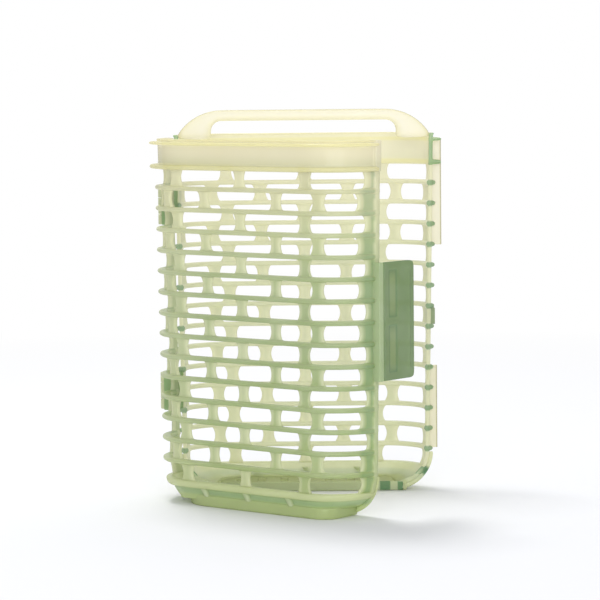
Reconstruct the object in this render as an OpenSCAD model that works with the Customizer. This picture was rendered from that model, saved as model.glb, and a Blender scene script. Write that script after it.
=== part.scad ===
// Herb keeper: a slotted basket in two halves that open like a book.
// Each half is a shallow U-shaped dish. The back half carries the arched
// handle, the front half swings on two pinned hinges at the left and is
// held shut by a springy tongue at the right.
//
// Every half is drawn in its own frame: x runs across, y runs outward from
// the parting plane (y = 0) and z runs up from the table. The whole basket
// is then moved so that its origin lies under the back half's foot wall, on
// the basket's middle line and on the table.

/* [Basket] */
// Half width of the wall at the top of the band
top_half_width = 69; // [64:0.5:76]
// Half width of the flat front panel, where the corner arc starts
flat_half_width = 41.7; // [38:0.1:46]
// Straight stretch between the corner arc and the parting face
straight_len = 0.8; // [0.5:0.1:3]
// Shrink of the wall per millimetre of height, going down
taper = 0.016; // [0:0.001:0.03]
// Wall thickness
wall_t = 2.1; // [1.6:0.1:2.6]
// Height of the rim above the table
rim_z = 192; // [188:0.5:196]
// Gap between each parting face and the parting plane
parting_gap = 0.1; // [0.05:0.05:0.3]

/* [Slots and fins] */
// Distance from one fin to the next
row_pitch = 11; // [10.5:0.1:11.2]
// Height of the middle of the lowest fin
low_fin_z = 11.4; // [11:0.1:12]
// Height of a slot
slot_h = 7.9; // [6:0.1:8.4]
// Radius of the bulge at each end of a slot
slot_end_r = 6; // [5:0.1:8]
// Thickness of a fin
fin_t = 2.4; // [1.8:0.1:2.8]
// How far a fin stands out from the wall
fin_out = 2; // [1.4:0.1:2.4]
// How far a fin stands in from the wall
fin_in = 0.8; // [0:0.1:1.2]
// Width of a strut at its waist
strut_w = 5.8; // [4:0.1:7]

/* [Band] */
// Bottom of the plain top band
band_z = 174.8; // [174:0.1:175.2]
// Middle height of the upper flange
upper_flange_z = 188.6; // [186:0.1:189]
// Middle height of the lower flange
lower_flange_z = 176.4; // [176.2:0.1:178]
// How far the flanges stand out from the wall
flange_out = 4.6; // [3:0.1:5]

/* [Base] */
// Height of the floor's upper face
floor_top_z = 4.9; // [4.5:0.1:5.5]
// Thickness of the floor
floor_t = 2.1; // [1.6:0.1:2.4]
// Height of the foot wall
foot_h = 5.8; // [5:0.1:6]
// Reach of the foot toward the hinge
hinge_foot_x = 48; // [48:0.5:50]
// Reach of the foot toward the latch
latch_foot_x = 54; // [50:0.5:55]
// Radius of the foot's corner at the hinge, seen from above
hinge_foot_r = 20; // [16:0.5:22]
// Radius of the foot's corner at the latch, seen from above
latch_foot_r = 10; // [8:0.5:14]
// Radius of the rounded lower corners, seen from the front
low_corner_r = 21; // [19:0.5:21]

/* [Handle] */
// Top of the handle
handle_top_z = 205; // [200:0.5:212]
// Radius of the handle's shoulders
shoulder_r = 28; // [20:0.5:30]
// Half width of the finger window
window_half_width = 49.3; // [40:0.1:52]
// Top of the finger window
window_top_z = 199.2; // [196:0.1:200]
// Thickness of the handle plate
handle_t = 2.2; // [1.8:0.1:2.8]

/* [Hinge] */
// Angle by which the front half stands open
open_angle = 38.5; // [0:0.5:90]
// Distance of the hinge axis from the middle of the basket
hinge_x = 75; // [74.5:0.1:77]
// Radius of the knuckles
knuckle_r = 2.8; // [2.4:0.1:3]
// Radius of the hinge pins
pin_r = 1.2; // [1:0.05:1.4]
// Clearance round a pin
pin_gap = 0.05; // [0.02:0.01:0.1]

/* [Latch] */
// Height of the latch tongue
tongue_h = 60; // [50:1:60]
// Middle height of the latch tongue
tongue_z = 99.4; // [99:0.1:100]
// Length of the latch tongue
tongue_len = 24; // [20:0.5:26]
// Thickness of the latch tongue
tongue_t = 1.6; // [1.2:0.1:1.8]
// Distance of the tongue's inner face from the middle of the basket
tongue_x = 70.3; // [70.2:0.1:70.6]

/* [Hidden] */

arc_fn = 96;
tiny = 0.01;
far = 200;
rows = 15;
cut_reach = 14;
front_rim_drop = 1.2;
base_top_z = low_fin_z + row_pitch / 2 - slot_h / 2;
bead_t = 0.9;
bead_out = 0.5;
upper_flange_t = 1.7;
lower_flange_t = 2.4;

// slot layout, as distances along the wall from the middle of the panel;
// the struts are given in the top rows and draw in a little going down
odd_strut_s = 42.3;
odd_end_s = 75.4;
even_strut_s = 24;
even_outer_s = 50.8;
// least part of an outer strut that stays on the corner arc
strut_on_arc = 0.7;
even_end_s = 71.2;
strut_lean = 0.025;

// sill, recess and foot under the lowest slot
sill_z = 9.1;
recess_in = 1.4;
recess_r = corner_r(sill_z) - recess_in;
foot_depth = 24.8;
gusset_step = 28;
gusset_w = 3;
drain_pairs = 3;
drain_step = 12;
drain_w = 4;
drain_y = [6, 17];

// corner wall that joins the side to the floor
corner_z = fin_z(rows - 1) - fin_t / 2;
corner_out_r = corner_z - floor_top_z + floor_t;
corner_in_r = corner_out_r - wall_t;
corner_x = half_width(corner_z) - corner_out_r;
// hairline that keeps the side wall clear of the corner wall's inner face
seam = 0.02;
skirt_t = 1.5;
skirt_x = half_width(corner_z) + fin_out - low_corner_r;

// raised edge beside the parting face of the front half
edge_out = 1.7;
edge_len = 4;
knob_gap = 1.5;

// wings on the back half, above and below the latch
wing_top_out = 73.5;
wing_low_out = 70.8;
wing_y = 6;
wing_t = 1.4;
wing_top_z = [132, 174.8];
wing_low_z = [22.4, 67];

// hinge stations, one between fins 1 and 3, one between fins 10 and 12
station_rows = [2, 11];
station_h = 2 * row_pitch;
pad_x = 71.2;
pad_len = 6;
leaf_y = [0.3, 3];
knuckle_gap = 0.3;
middle_knuckle_h = 8.4;
pad_h = station_h - fin_t;
end_knuckle_h = (pad_h - middle_knuckle_h) / 2 - knuckle_gap;

// latch details
root_gap = 0.3;
root_y = 0.9;
root_len = 3.4;
pocket_depth = 0.5;
pocket_y = [-10.5, -3.8];
pocket_h = 24;
pocket_z = 14;
tongue_corner_r = 3;
grip_len = 4;
grip_rise = 0.9;
catch_y = [1.2, 8];
catch_x = 69.6;

// handle details
shoulder_x = 43.5;
handle_root_z = rim_z - 2.6;
window_r = 5.5;
handle_lip_w = 2.4;
handle_lip_out = 3.2;

// the origin lies under the middle of the back half's foot wall
origin_y = foot_depth - wall_t / 2;

function corner_r(z) = top_half_width - taper * (rim_z - z) - flat_half_width;
function half_width(z) = flat_half_width + corner_r(z);
function depth(z) = straight_len + corner_r(z);
function fin_z(row) = low_fin_z + (rows - row) * row_pitch;
function slot_z(row) = fin_z(row) + row_pitch / 2;
function is_odd(row) = row % 2 == 1;
// distance of a strut from the panel's middle in a row, kept on the flat panel if it starts there
function strut_s(top_s, row) = max(
    top_s - strut_lean * (slot_z(1) - slot_z(row)),
    top_s > flat_half_width ? flat_half_width - strut_w / 2 + strut_on_arc : 0
);
// lower end of a hinge station
function pad_z(row) = fin_z(row) - pad_h / 2;
// angle round the corner arc, from the side face, of a distance along the wall
function wall_angle(s, r) = 90 - (s - flat_half_width) / r * 180 / PI;

// ---------- wall section, x = distance from the corner's axis ----------

module wall_section(z0, z1, out = 0) {
    polygon([
        [corner_r(z0) - wall_t, z0], [corner_r(z0) + out, z0],
        [corner_r(z1) + out, z1], [corner_r(z1) - wall_t, z1]
    ]);
}

// a rib with a round outer edge and, if it stands in, a round inner edge
module rib_section(z, t, out, in) {
    r = corner_r(z);
    translate([r - wall_t - in, z - t / 2])
        square([wall_t + in + out - t / 2, t]);
    translate([r + out - t / 2, z])
        circle(r = t / 2, $fn = 32);
}

module fins_section() {
    for (row = [1 : rows - 1])
        rib_section(fin_z(row), fin_t, fin_out, fin_in);
}

module band_section(top_z) {
    wall_section(band_z, top_z);
    rib_section(lower_flange_z, lower_flange_t, flange_out, 0);
    rib_section(upper_flange_z, upper_flange_t, flange_out, 0);
    // bead at the rim
    translate([corner_r(top_z) - wall_t / 2, top_z - bead_t])
        square([wall_t / 2 + bead_out, bead_t]);
}

module base_section() {
    wall_section(sill_z, base_top_z);
    rib_section((sill_z + base_top_z) / 2, base_top_z - sill_z, fin_out, fin_in);
    translate([recess_r - wall_t, floor_top_z])
        square([wall_t, sill_z - floor_top_z + tiny]);
}

// ---------- sweeps of a section along the plan of a half ----------

module sweep_flat() {
    translate([-flat_half_width, straight_len, 0])
        rotate([90, 0, 90])
            linear_extrude(2 * flat_half_width)
                children();
}

// one corner and the straight stretch after it; side is 1 or -1
module sweep_side(side) {
    mirror([side > 0 ? 0 : 1, 0, 0])
        translate([flat_half_width, 0, 0]) {
            translate([0, straight_len, 0])
                rotate_extrude(angle = 90, $fn = arc_fn)
                    children();
            translate([0, straight_len, 0])
                rotate([90, 0, 0])
                    linear_extrude(straight_len - parting_gap)
                        children();
        }
}

module sweep_all() {
    sweep_flat()
        children();
    for (side = [-1, 1])
        sweep_side(side)
            children();
}

// ---------- slots ----------

module slot_outline(len) {
    square([len - 2 * slot_end_r, slot_h], center = true);
    for (side = [-1, 1])
        translate([side * (len / 2 - slot_end_r), 0])
            slot_end_outline(slot_h);
}

// end of a slot: a disc cut to the height h
module slot_end_outline(h) {
    intersection() {
        circle(r = slot_end_r, $fn = 48);
        square([3 * slot_end_r, h], center = true);
    }
}

// slot cut straight through the panel, between distances s0 and s1
module panel_slot(row, s0, s1) {
    translate([(s0 + s1) / 2, depth(slot_z(row)) + cut_reach / 2, slot_z(row)])
        rotate([90, 0, 0])
            linear_extrude(cut_reach)
                slot_outline(s1 - s0);
}

// slot cut toward the corner's axis, between distances s0 and s1
module corner_slot(row, s0, s1) {
    r = corner_r(slot_z(row));
    near = r - cut_reach / 2;
    outer = r + cut_reach / 2;
    end_angle = asin(slot_end_r / r);
    a0 = wall_angle(s1, r) + end_angle;
    a1 = wall_angle(s0, r) - end_angle;
    middle = (a0 + a1) / 2;
    translate([flat_half_width, straight_len, slot_z(row)]) {
        translate([0, 0, -slot_h / 2])
            linear_extrude(slot_h)
                polygon([
                    near * [cos(a0), sin(a0)], outer * [cos(a0), sin(a0)],
                    1.2 * outer * [cos(middle), sin(middle)],
                    outer * [cos(a1), sin(a1)], near * [cos(a1), sin(a1)]
                ]);
        for (a = [a0, a1])
            rotate([90, 0, a + 90])
                translate([0, 0, near])
                    linear_extrude(cut_reach)
                        slot_end_outline(slot_h - 2 * seam);
    }
}

// even slots run a little way round the corner: x of the end of such a slot
function bend_x(row) = flat_half_width + corner_r(slot_z(row))
    * cos(wall_angle(strut_s(even_outer_s, row) - strut_w / 2, corner_r(slot_z(row))));

module panel_slots() {
    w = strut_w / 2;
    for (row = [1 : rows])
        if (is_odd(row)) {
            for (side = [0, 1])
                mirror([side, 0, 0])
                    panel_slot(row, w, strut_s(odd_strut_s, row) - w);
        } else {
            inner_s = strut_s(even_strut_s, row);
            panel_slot(row, -inner_s + w, inner_s - w);
            for (side = [0, 1])
                mirror([side, 0, 0])
                    panel_slot(row, inner_s + w, bend_x(row));
        }
}

module corner_slots() {
    w = strut_w / 2;
    for (row = [1 : rows])
        if (is_odd(row))
            corner_slot(row, strut_s(odd_strut_s, row) + w, row < rows ? odd_end_s : even_end_s);
        else
            corner_slot(row, strut_s(even_outer_s, row) + w, even_end_s);
}

// ---------- lower corners ----------

// everything above the corner's height, and a rounded space below it
module bay(r, x) {
    rotate([90, 0, 0])
        linear_extrude(2 * far, center = true) {
            translate([-far, corner_z])
                square([2 * far, 2 * far]);
            translate([-x, corner_z - r])
                square([2 * x, r + tiny]);
            for (side = [-1, 1])
                translate([side * x, corner_z])
                    circle(r = r, $fn = arc_fn);
        }
}

// everything inside the outer face of the wall, from table to rim
module core() {
    sweep_all()
        polygon([[0, 0], [corner_r(0), 0], [corner_r(rim_z), rim_z], [0, rim_z]]);
    translate([-flat_half_width, parting_gap, 0])
        cube([2 * flat_half_width, straight_len, rim_z]);
}

// quarter-round wall under each side
module corner_wall() {
    intersection() {
        core();
        for (side = [0, 1])
            mirror([side, 0, 0])
                translate([corner_x, 0, corner_z])
                    rotate([90, 0, 0])
                        linear_extrude(2 * far, center = true)
                            intersection() {
                                difference() {
                                    circle(r = corner_out_r, $fn = arc_fn);
                                    circle(r = corner_in_r, $fn = arc_fn);
                                }
                                translate([0, -far])
                                    square([far, far]);
                            }
    }
}

// ---------- pieces of one half ----------

module band(top_z) {
    sweep_all()
        band_section(top_z);
}

// band whose flanges end at the raised strip beside the parting face
module edged_band(top_z) {
    difference() {
        band(top_z);
        for (side = [0, 1])
            mirror([side, 0, 0])
                translate([half_width(rim_z) + bead_out + 0.1, -1, band_z])
                    cube([far, edge_len + 1, rim_z]);
    }
    for (side = [-1, 1])
        edge_strip(side, band_z, top_z);
}

module grille() {
    difference() {
        sweep_flat()
            wall_section(base_top_z, band_z);
        panel_slots();
    }
    sweep_flat()
        fins_section();
}

// side of a half; the front half has a raised edge beside its parting face
module side_wall(side, raised_edge) {
    difference() {
        intersection() {
            sweep_side(side)
                wall_section(base_top_z, band_z);
            bay(corner_in_r - seam, corner_x);
        }
        panel_slots();
        mirror([side > 0 ? 0 : 1, 0, 0])
            corner_slots();
    }
    side_fins(side, raised_edge ? edge_len : knob_gap);
    if (raised_edge)
        edge_strip(side, corner_z, band_z);
}

module side_fins(side, start) {
    difference() {
        sweep_side(side)
            fins_section();
        translate([-far, start - far, 0])
            cube([2 * far, far, far]);
    }
}

module edge_strip(side, z0, z1) {
    mirror([side > 0 ? 0 : 1, 0, 0])
        translate([flat_half_width, edge_len, 0])
            rotate([90, 0, 0])
                linear_extrude(edge_len - parting_gap)
                    polygon([
                        [corner_r(z0) - 1, z0], [corner_r(z0) + edge_out, z0],
                        [corner_r(z1) + edge_out, z1], [corner_r(z1) - 1, z1]
                    ]);
}

// plan of a half within r of its corner axes
module plan(r) {
    intersection() {
        union() {
            translate([-flat_half_width, 0])
                square([2 * flat_half_width, straight_len + r]);
            translate([-flat_half_width - r, 0])
                square([2 * (flat_half_width + r), straight_len]);
            for (side = [-1, 1])
                translate([side * flat_half_width, straight_len])
                    circle(r = r, $fn = arc_fn);
        }
        translate([-far, parting_gap])
            square([2 * far, far]);
    }
}

// one side of the foot's plan, reaching out to x with a corner of radius r
module foot_side(x, r, inset) {
    y = foot_depth - inset;
    translate([-1, 0])
        square([x - r + 1, y]);
    square([x - inset, foot_depth - r]);
    translate([x - r, foot_depth - r])
        circle(r = r - inset, $fn = arc_fn);
}

module foot_plan(inset) {
    intersection() {
        union() {
            foot_side(latch_foot_x, latch_foot_r, inset);
            mirror([1, 0])
                foot_side(hinge_foot_x, hinge_foot_r, inset);
        }
        translate([-far, parting_gap])
            square([2 * far, far]);
    }
}

module foot_wall() {
    difference() {
        linear_extrude(foot_h)
            difference() {
                foot_plan(0);
                foot_plan(wall_t);
            }
        translate([0, 0, floor_top_z])
            linear_extrude(foot_h)
                plan(recess_r - wall_t);
    }
}

module gussets() {
    for (i = [-1 : 1])
        translate([i * gusset_step - gusset_w / 2, foot_depth - recess_in - wall_t / 2, foot_h - 1])
            cube([gusset_w, recess_in + wall_t / 2 + 0.6, sill_z - foot_h + 1.5]);
}

// nose and recess under the lowest slot, clear of the skirt
module nose() {
    difference() {
        intersection() {
            sweep_all()
                base_section();
            bay(low_corner_r, skirt_x);
        }
        translate([0, parting_gap + skirt_t, 0])
            rotate([90, 0, 0])
                linear_extrude(far)
                    for (side = [0, 1])
                        mirror([side, 0])
                            difference() {
                                translate([corner_x, -1])
                                    square([far, corner_z + 1]);
                                translate([corner_x, corner_z])
                                    circle(r = corner_out_r, $fn = arc_fn);
                            }
    }
}

module base() {
    difference() {
        union() {
            nose();
            corner_wall();
            foot_wall();
            gussets();
        }
        translate([0, 0, floor_top_z - floor_t])
            linear_extrude(floor_t)
                floor_plan();
    }
}

module floor_plan() {
    intersection() {
        plan(recess_r);
        square([2 * corner_x, 2 * far], center = true);
    }
}

module floor_plate() {
    translate([0, 0, floor_top_z - floor_t])
        linear_extrude(floor_t)
            difference() {
                floor_plan();
                for (i = [-drain_pairs : drain_pairs])
                    translate([i * drain_step - drain_w / 2, drain_y[0]])
                        square([drain_w, drain_y[1] - drain_y[0]]);
            }
}

// thin plate round the lower corners and under the floor, beside the parting face
module skirt() {
    low_z = corner_z - low_corner_r;
    translate([0, parting_gap + skirt_t, 0])
        rotate([90, 0, 0])
            linear_extrude(skirt_t) {
                translate([wall_t - hinge_foot_x, low_z])
                    square([hinge_foot_x + latch_foot_x - 2 * wall_t, floor_top_z - floor_t - low_z]);
                for (side = [0, 1])
                    mirror([side, 0])
                        difference() {
                            intersection() {
                                translate([skirt_x, corner_z])
                                    circle(r = low_corner_r, $fn = arc_fn);
                                translate([side == 0 ? latch_foot_x : hinge_foot_x, 0])
                                    square([far, corner_z]);
                            }
                            translate([corner_x, corner_z])
                                circle(r = corner_out_r, $fn = arc_fn);
                        }
            }
}

// block between the fins that carries a hinge station
module hinge_pads() {
    for (row = station_rows)
        translate([-pad_x, parting_gap, pad_z(row)])
            cube([pad_x - half_width(pad_z(row)) + wall_t / 2, pad_len, pad_h]);
}

// ---------- hinge ----------

module knuckle(z0, h) {
    translate([0, 0, z0])
        difference() {
            union() {
                translate([-hinge_x, 0, 0])
                    cylinder(r = knuckle_r, h = h, $fn = 48);
                translate([-hinge_x, leaf_y[0], 0])
                    cube([hinge_x - pad_x, leaf_y[1] - leaf_y[0], h]);
            }
            translate([-hinge_x, 0, -1])
                cylinder(r = pin_r + pin_gap, h = h + 2, $fn = 48);
        }
}

module end_knuckles() {
    for (row = station_rows) {
        knuckle(pad_z(row), end_knuckle_h);
        knuckle(pad_z(row) + pad_h - end_knuckle_h, end_knuckle_h);
    }
}

module middle_knuckles() {
    for (row = station_rows)
        knuckle(pad_z(row) + end_knuckle_h + knuckle_gap, middle_knuckle_h);
}

module pin(row) {
    translate([-hinge_x, 0, pad_z(row)])
        cylinder(r = pin_r, h = pad_h, $fn = 48);
}

// ---------- latch ----------

module latch_root() {
    x0 = half_width(tongue_z) - wall_t / 2;
    translate([x0, root_y, tongue_z - tongue_h / 2])
        cube([tongue_x + tongue_t - x0, root_len, tongue_h]);
}

module tongue_outline() {
    r = tongue_corner_r;
    square([tongue_len - r, tongue_h]);
    translate([0, r])
        square([tongue_len, tongue_h - 2 * r]);
    for (z = [r, tongue_h - r])
        translate([tongue_len - r, z])
            circle(r = r, $fn = 48);
}

// tongue, drawn in the front half's frame, reaching past the parting face
module tongue() {
    axis_y = root_y - root_gap - tongue_t / 2;
    difference() {
        union() {
            translate([tongue_x, axis_y, tongue_z - tongue_h / 2])
                rotate([90, 0, 90])
                    linear_extrude(tongue_t)
                        mirror([1, 0])
                            tongue_outline();
            translate([tongue_x + tongue_t / 2, axis_y, tongue_z - tongue_h / 2])
                cylinder(r = tongue_t / 2, h = tongue_h, $fn = 32);
            // grip ridge near the free edge
            translate([tongue_x + tongue_t, axis_y - tongue_len + grip_len, tongue_z])
                cylinder(r = grip_rise, h = tongue_h - 2 * grip_len, center = true, $fn = 32);
        }
        for (side = [-1, 1])
            translate([
                tongue_x + tongue_t - pocket_depth, pocket_y[0],
                tongue_z + side * pocket_z - pocket_h / 2
            ])
                cube([2, pocket_y[1] - pocket_y[0], pocket_h]);
    }
}

module catch_block() {
    z0 = fin_z(8) + fin_t / 2;
    difference() {
        translate([half_width(tongue_z) - wall_t, catch_y[0], z0])
            cube([catch_x - half_width(tongue_z) + wall_t, catch_y[1] - catch_y[0], row_pitch - fin_t]);
        core();
    }
}

// ---------- handle ----------

module arch_outline() {
    x = half_width(rim_z) - wall_t - 0.1;
    intersection() {
        union() {
            translate([-shoulder_x, handle_top_z - shoulder_r])
                square([2 * shoulder_x, shoulder_r]);
            for (side = [-1, 1])
                translate([side * shoulder_x, handle_top_z - shoulder_r])
                    circle(r = shoulder_r, $fn = arc_fn);
        }
        translate([-x, handle_root_z])
            square([2 * x, far]);
    }
}

module window_outline(grow) {
    x = window_half_width + grow;
    top = window_top_z + grow;
    low = handle_root_z - window_r;
    translate([-x, low])
        square([2 * x, top - window_r - low]);
    translate([window_r - x, low])
        square([2 * (x - window_r), top - low]);
    for (side = [-1, 1])
        translate([side * (x - window_r), top - window_r])
            circle(r = window_r, $fn = 48);
}

module handle() {
    difference() {
        union() {
            translate([0, parting_gap + handle_t, 0])
                rotate([90, 0, 0])
                    linear_extrude(handle_t)
                        arch_outline();
            // lip round the finger window
            translate([0, parting_gap + handle_t + handle_lip_out, 0])
                rotate([90, 0, 0])
                    linear_extrude(handle_lip_out + tiny)
                        intersection() {
                            window_outline(handle_lip_w);
                            translate([-far, handle_root_z])
                                square([2 * far, far]);
                        }
        }
        rotate([90, 0, 0])
            linear_extrude(far, center = true)
                window_outline(0);
        band(rim_z);
    }
}

module wing(z_range, out) {
    translate([half_width(z_range[0]) - wall_t / 2, wing_y, z_range[0]])
        cube([out - half_width(z_range[0]) + wall_t / 2, wing_t, z_range[1] - z_range[0]]);
}

// ---------- placing ----------

// puts a piece of the back half in its place
module placed() {
    translate([0, -origin_y, 0])
        children();
}

// puts a piece of the front half at its open angle
module opened() {
    translate([-hinge_x, -origin_y, 0])
        rotate([0, 0, -open_angle])
            translate([hinge_x, 0, 0])
                mirror([0, 1, 0])
                    children();
}

module back_band() {
    color("#e9e6c8")
        placed() {
            band(rim_z);
            wing([band_z, upper_flange_z], wing_top_out);
        }
}

module back_grille() {
    color("#cfdfb5")
        placed()
            grille();
}

module back_left_side() {
    color("#cfdfb5")
        placed() {
            side_wall(-1, false);
            hinge_pads();
        }
}

module back_right_side() {
    color("#cfdfb5")
        placed() {
            side_wall(1, false);
            wing(wing_top_z, wing_top_out);
            wing(wing_low_z, wing_low_out);
        }
}

module back_base() {
    color("#a9cb9c")
        placed()
            base();
}

module back_floor() {
    color("#a9cb9c")
        placed()
            floor_plate();
}

module back_skirt() {
    color("#e6e3bd")
        placed()
            skirt();
}

module carry_handle() {
    color("#f7f1dc")
        placed()
            handle();
}

module latch_catch() {
    color("#8fbf8f")
        placed()
            catch_block();
}

module back_hinge_knuckles() {
    color("#a9cb9c")
        placed()
            end_knuckles();
}

module upper_hinge_pin() {
    color("#dfe3c4")
        placed()
            pin(station_rows[0]);
}

module lower_hinge_pin() {
    color("#dfe3c4")
        placed()
            pin(station_rows[1]);
}

module front_band() {
    color("#e9e6c8")
        opened()
            edged_band(rim_z - front_rim_drop);
}

module front_grille() {
    color("#cfdfb5")
        opened()
            grille();
}

module front_left_side() {
    color("#cfdfb5")
        opened() {
            side_wall(-1, true);
            hinge_pads();
        }
}

module front_right_side() {
    color("#cfdfb5")
        opened() {
            side_wall(1, true);
            latch_root();
        }
}

module front_base() {
    color("#a9cb9c")
        opened()
            base();
}

module front_floor() {
    color("#a9cb9c")
        opened()
            floor_plate();
}

module front_skirt() {
    color("#a9cb9c")
        opened()
            skirt();
}

module front_hinge_knuckles() {
    color("#a9cb9c")
        opened()
            middle_knuckles();
}

module latch_tongue() {
    color("#9cc3a6")
        opened()
            tongue();
}

back_band();
back_grille();
back_left_side();
back_right_side();
back_base();
back_floor();
back_skirt();
carry_handle();
latch_catch();
back_hinge_knuckles();
upper_hinge_pin();
lower_hinge_pin();
front_band();
front_grille();
front_left_side();
front_right_side();
front_base();
front_floor();
front_skirt();
front_hinge_knuckles();
latch_tongue();
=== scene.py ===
# %% [markdown]
# # A slotted herb keeper in two hinged halves
# The object is a basket of thin milky plastic that opens like a book. Each
# half is one moulding: a plain band with two flanges at the top, a lattice
# of thin fins and small struts, and a rounded base on a low foot.
# The CAD model gives every size. This script loads it as a fixed frame and
# builds softer, rounder meshes over it, so that light runs along the fins.

import math

import bmesh
import bpy
from mathutils import Matrix, Vector


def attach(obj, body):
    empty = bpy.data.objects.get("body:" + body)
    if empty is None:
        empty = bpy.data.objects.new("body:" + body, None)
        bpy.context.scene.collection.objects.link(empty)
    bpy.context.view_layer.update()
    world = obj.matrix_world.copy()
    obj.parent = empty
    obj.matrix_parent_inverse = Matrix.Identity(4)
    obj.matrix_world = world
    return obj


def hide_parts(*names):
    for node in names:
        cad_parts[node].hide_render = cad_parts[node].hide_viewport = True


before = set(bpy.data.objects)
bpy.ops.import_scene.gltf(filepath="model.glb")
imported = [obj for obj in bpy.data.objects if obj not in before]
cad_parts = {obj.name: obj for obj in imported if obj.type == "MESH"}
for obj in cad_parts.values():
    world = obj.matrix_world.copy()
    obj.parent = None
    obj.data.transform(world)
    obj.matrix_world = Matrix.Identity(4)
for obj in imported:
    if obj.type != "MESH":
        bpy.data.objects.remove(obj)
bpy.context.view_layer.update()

# %% [markdown]
# Sizes are kept in millimetres, because a moulding is drawn in them. Each
# half has a frame of its own: x runs across, y runs outward from the parting
# plane and z runs up. Two matrices carry a finished mesh into the scene, one
# for the back half and one for the front half, which is a mirror image
# turned about the hinge. A pair of matrices is simpler than two sets of code.

# %% Sizes of one half, in millimetres
MM = 0.001
FLAT_HALF = 41.7
STRAIGHT = 0.8
GAP = 0.1
WALL = 2.1
RIM_Z = 192.0
TOP_HALF_WIDTH = 69.0
TAPER = 0.016
ROWS = 15
PITCH = 11.0
LOW_FIN_Z = 11.4
FIN_HALF = 1.2
FIN_OUT = 2.0
FIN_IN = 0.8
BAND_Z = 174.8
CORNER_Z = 21.2
CORNER_OUT_R = 18.4
CORNER_IN_R = 16.3
HINGE_X = 75.0
OPEN_ANGLE = math.radians(38.5)
ORIGIN_Y = 23.75

TO_BACK = Matrix.Scale(MM, 4) @ Matrix.Translation((0, -ORIGIN_Y, 0))
TO_FRONT = (
    Matrix.Scale(MM, 4)
    @ Matrix.Translation((-HINGE_X, -ORIGIN_Y, 0))
    @ Matrix.Rotation(-OPEN_ANGLE, 4, "Z")
    @ Matrix.Translation((HINGE_X, 0, 0))
    @ Matrix.Diagonal((1, -1, 1, 1))
)
HALVES = {"back": TO_BACK, "front": TO_FRONT}
BODY = {"back": "back_half", "front": "front_half"}
print("front rim corner at", [round(v, 4) for v in TO_FRONT @ Vector((TOP_HALF_WIDTH, 0, RIM_Z))])

# %% [markdown]
# The wall of a half follows a flat panel and two corner arcs, and it draws
# in a little toward the bottom. Below the corner height the side also curls
# under, like the lower edge of a tub. One function turns three numbers into
# a point: the distance along the wall, the height, and how far the point
# stands out from the wall. Everything swept along the wall uses it.


# %% A point on the wall
def corner_radius(z):
    return TOP_HALF_WIDTH - TAPER * (RIM_Z - z) - FLAT_HALF


def side_reach(z):
    """Distance from the corner's axis to the side wall, which curls under at the bottom."""
    if z >= CORNER_Z:
        return corner_radius(z)
    middle = FLAT_HALF + corner_radius(CORNER_Z) - CORNER_OUT_R
    drop = min(CORNER_Z - z, CORNER_OUT_R)
    return middle + math.sqrt(CORNER_OUT_R**2 - drop**2) - FLAT_HALF


def end_of_wall(z):
    return FLAT_HALF + corner_radius(z) * math.pi / 2 + STRAIGHT - GAP


def on_wall(s, z, out=0.0, side_out=None):
    """Point at distance s along the wall and height z, standing out from its outer face."""
    side_out = out if side_out is None else side_out
    depth = corner_radius(z) + out
    reach = side_reach(z) + side_out
    way = abs(s)
    if way <= FLAT_HALF:
        return Vector((s, STRAIGHT + depth, z))
    turn = (way - FLAT_HALF) / corner_radius(z)
    if turn <= math.pi / 2:
        x = FLAT_HALF + reach * math.sin(turn)
        y = STRAIGHT + depth * math.cos(turn)
    else:
        x = FLAT_HALF + reach
        y = STRAIGHT - (way - FLAT_HALF - corner_radius(z) * math.pi / 2)
    return Vector((math.copysign(x, s), y, z))


print("wall ends at", [round(v, 2) for v in on_wall(end_of_wall(100), 100)])

# %% [markdown]
# A swept piece is a row of rings joined by quads. The helpers below take the
# rings, join each to the next, and close both ends. A number is kept with
# every point, and the material reads it later to paint light and shade: 0 is
# plain wall and 1 is plastic seen edge on, which gets a painted highlight
# (a painted shade on the latch). Below 0 and above 1 it leads to a third
# colour of painted shade, green near the parting faces. A number on a point
# needs no texture and follows the shape by itself.


# %% Mesh helpers
# The number on each point paints edge light and shade in the material.
def new_mesh():
    bm = bmesh.new()
    bm.verts.layers.float.new("edge_light_and_shade")
    return bm


def add_point(bm, point, edge_light_and_shade):
    vert = bm.verts.new(point)
    vert[bm.verts.layers.float["edge_light_and_shade"]] = edge_light_and_shade
    return vert


def join_rings(bm, rings, skip=()):
    """Quads between neighbouring rings; skip holds (column, side) places left open."""
    count = len(rings[0])
    for i in range(len(rings) - 1):
        for k in range(count):
            if (i, k) in skip:
                continue
            n = (k + 1) % count
            bm.faces.new((rings[i][k], rings[i][n], rings[i + 1][n], rings[i + 1][k]))


def close_ends(bm, rings):
    bm.faces.new(rings[0])
    bm.faces.new(list(reversed(rings[-1])))


def sweep(bm, rings_of_points, depths):
    rings = [
        [add_point(bm, p, d) for p, d in zip(points, depths)] for points in rings_of_points
    ]
    join_rings(bm, rings)
    close_ends(bm, rings)


print("mesh helpers: rings, sweeps and end faces")

# %% [markdown]
# Every mesh is finished in the same way: it is carried from its half's own
# frame into the scene, shaded smooth, and then rounded either by a
# subdivision surface, for swept shapes, or by a bevel, for flat prisms. Both
# are modifiers, so the mesh below them stays light and easy to change.


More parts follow.
